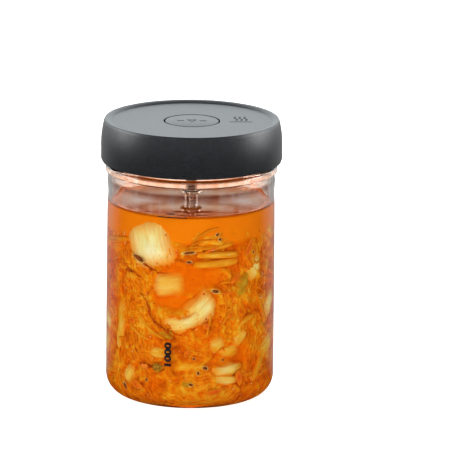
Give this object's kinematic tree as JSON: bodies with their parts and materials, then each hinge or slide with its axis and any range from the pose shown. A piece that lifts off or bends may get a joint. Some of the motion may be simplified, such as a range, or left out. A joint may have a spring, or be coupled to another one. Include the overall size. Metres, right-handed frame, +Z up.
{
  "type": "fermentation jar with cabbage pickle",
  "caption": "Clear round glass jar full of cabbage pickle in brine, under a dark plastic lid with a round push button on a steel valve stem.",
  "frame": {"origin": "middle of the underside of the jar's foot, where it stands", "axes": "+Z up along the jar's axis; -Y is the side with the fill line, seen in the picture"},
  "size_m": [0.116, 0.116, 0.1803],
  "materials": {
    "glass": "clear polished glass",
    "lid_plastic": "dark grey plastic with a fine matt grain",
    "button_plastic": "dark grey plastic with a fine matt grain",
    "steel": "turned stainless steel",
    "pickle": "wet cabbage leaves and ribs in orange brine"
  },
  "bodies": {
    "jar": {"glass_jar": "glass", "lid": "lid_plastic", "kimchi": "pickle"},
    "button": {"push_button": "button_plastic", "valve_stem": "steel"}
  },
  "joints": [
    {"name": "button_press", "type": "slide", "parent": "jar", "child": "button", "axis": [0, 0, -1], "range_m": [0, 0.003], "stiffness_N_per_m": 600, "springref_m": -0.003}
  ]
}
